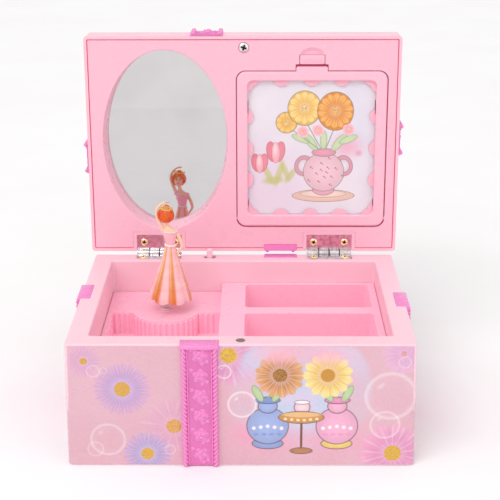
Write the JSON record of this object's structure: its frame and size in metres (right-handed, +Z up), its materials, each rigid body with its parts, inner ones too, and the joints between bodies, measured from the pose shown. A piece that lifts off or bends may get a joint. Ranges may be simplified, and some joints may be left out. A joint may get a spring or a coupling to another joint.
{
  "type": "ballerina jewellery box",
  "caption": "Musical jewellery box with a hinged mirror lid, a photo frame door in the lid, divided tray compartments and a turning dancer on a spring.",
  "frame": {"origin": "centre of the flat underside of the base", "axes": "+Z up from the surface it stands on, -Y is the front, +X to the right seen from the front, and the lid hinge runs along X at the back"},
  "size_m": [0.1678, 0.1435, 0.1808],
  "materials": {
    "pink_shell": "satin light pink",
    "pink_tray": "satin pink",
    "pink_panel": "satin pink",
    "printed_film": "glossy printed film",
    "magenta_strap": "glossy moulded",
    "nickel_steel": "bright nickel plated",
    "brass_screw": "polished",
    "steel": "plain",
    "magnet": "plated",
    "mirror_glass": "silvered",
    "clear_sheet": "clear acetate",
    "card": "printed card",
    "mat_border": "pink scalloped",
    "movement_cast": "die cast",
    "movement_brass": "machined",
    "spring_steel": "drawn wire",
    "plastic_white": "moulded",
    "dancer_paint": "hand painted"
  },
  "bodies": {
    "base": {"base_shell": "pink_shell", "printed_sleeve": "printed_film", "compartment_tray": "pink_tray", "bottom_plate": "pink_shell", "bottom_screws": "steel", "strap_base_front": "magenta_strap", "strap_base_back": "magenta_strap", "strap_base_left": "magenta_strap", "strap_base_right": "magenta_strap", "catch_magnet": "magnet", "hinge_left_base_leaf": "nickel_steel", "hinge_right_base_leaf": "nickel_steel", "hinge_pins": "nickel_steel", "hinge_screws_base": "brass_screw", "movement_bedplate": "movement_cast", "movement_screws": "steel", "comb": "steel", "comb_screws": "steel", "governor_frame": "movement_brass", "plunger_spring": "spring_steel"},
    "plunger": {"stop_plunger": "pink_shell"},
    "lid": {"lid_shell": "pink_panel", "lid_top_print": "printed_film", "lid_inner_panel": "pink_panel", "mirror": "mirror_glass", "catch_screw": "steel", "hinge_left_lid_leaf": "nickel_steel", "hinge_right_lid_leaf": "nickel_steel", "hinge_screws_lid": "brass_screw", "strap_lid_front": "magenta_strap", "strap_lid_back": "magenta_strap", "strap_lid_left": "magenta_strap", "strap_lid_right": "magenta_strap"},
    "door": {"photo_door": "pink_panel", "photo_border": "mat_border", "photo_window": "clear_sheet", "photo_card": "card"},
    "latch": {"door_latch": "pink_panel"},
    "drum": {"spring_drum": "movement_brass", "mainspring": "spring_steel"},
    "winder": {"winding_arbor": "steel", "winding_key": "movement_brass"},
    "spindle": {"output_spindle": "plastic_white"},
    "cylinder": {"note_cylinder": "movement_brass"},
    "governor": {"governor_fly": "plastic_white"},
    "dancer_mount": {"dancer_spring": "spring_steel"},
    "dancer": {"dancer": "dancer_paint"}
  },
  "joints": [
    {"name": "lid_hinge", "type": "hinge", "parent": "base", "child": "lid", "pos_m": [0, 0.057, 0.0627], "axis": [-1, 0, 0], "range_deg": [-93.5, 0]},
    {"name": "plunger_slide", "type": "slide", "parent": "base", "child": "plunger", "axis": [0, 0, 1], "range_m": [-0.0046, 0], "deforming": ["plunger_spring"]},
    {"name": "photo_door_hinge", "type": "hinge", "parent": "lid", "child": "door", "pos_m": [0.03585, 0.05956, 0.08168], "axis": [1, 0, 0], "range_deg": [0, 90]},
    {"name": "latch_flex", "type": "hinge", "parent": "lid", "child": "latch", "pos_m": [0.0358, 0.06419, 0.16886], "axis": [-1, 0, 0], "range_deg": [0, 8], "stiffness_Nm_per_rad": 0.02},
    {"name": "drum_spin", "type": "hinge", "parent": "base", "child": "drum", "pos_m": [-0.02825, 0.0329, 0.02], "axis": [0, 0, 1], "continuous": true},
    {"name": "key_wind", "type": "hinge", "parent": "base", "child": "winder", "pos_m": [-0.02825, 0.0329, 0.009], "axis": [0, 0, 1], "continuous": true},
    {"name": "spindle_spin", "type": "hinge", "parent": "base", "child": "spindle", "pos_m": [-0.0402, 0.0226, 0.02], "axis": [0, 0, 1], "continuous": true},
    {"name": "cylinder_spin", "type": "hinge", "parent": "base", "child": "cylinder", "pos_m": [-0.052, 0.0329, 0.0252], "axis": [1, 0, 0], "continuous": true},
    {"name": "governor_spin", "type": "hinge", "parent": "base", "child": "governor", "pos_m": [-0.0565, 0.0426, 0.025], "axis": [0, 0, 1], "continuous": true},
    {"name": "dancer_tilt", "type": "hinge", "parent": "base", "child": "dancer_mount", "pos_m": [-0.0402, 0.0113, 0.045], "axis": [1, 0, 0], "range_deg": [0, 78], "deforming": ["dancer_spring"]},
    {"name": "dancer_spin", "type": "hinge", "parent": "dancer_mount", "child": "dancer", "pos_m": [-0.0402, 0.0226, 0.04562], "axis": [0.0785, 0, 0.9969], "continuous": true}
  ],
  "couplings": [
    {"joint": "plunger_slide", "follows": "lid_hinge", "m_per_rad": 0.0028188},
    {"joint": "dancer_tilt", "follows": "lid_hinge", "ratio": -0.83422},
    {"joint": "spindle_spin", "follows": "drum_spin", "ratio": -2},
    {"joint": "dancer_spin", "follows": "drum_spin", "ratio": -2},
    {"joint": "cylinder_spin", "follows": "drum_spin", "ratio": 2.4},
    {"joint": "governor_spin", "follows": "drum_spin", "ratio": 24}
  ]
}
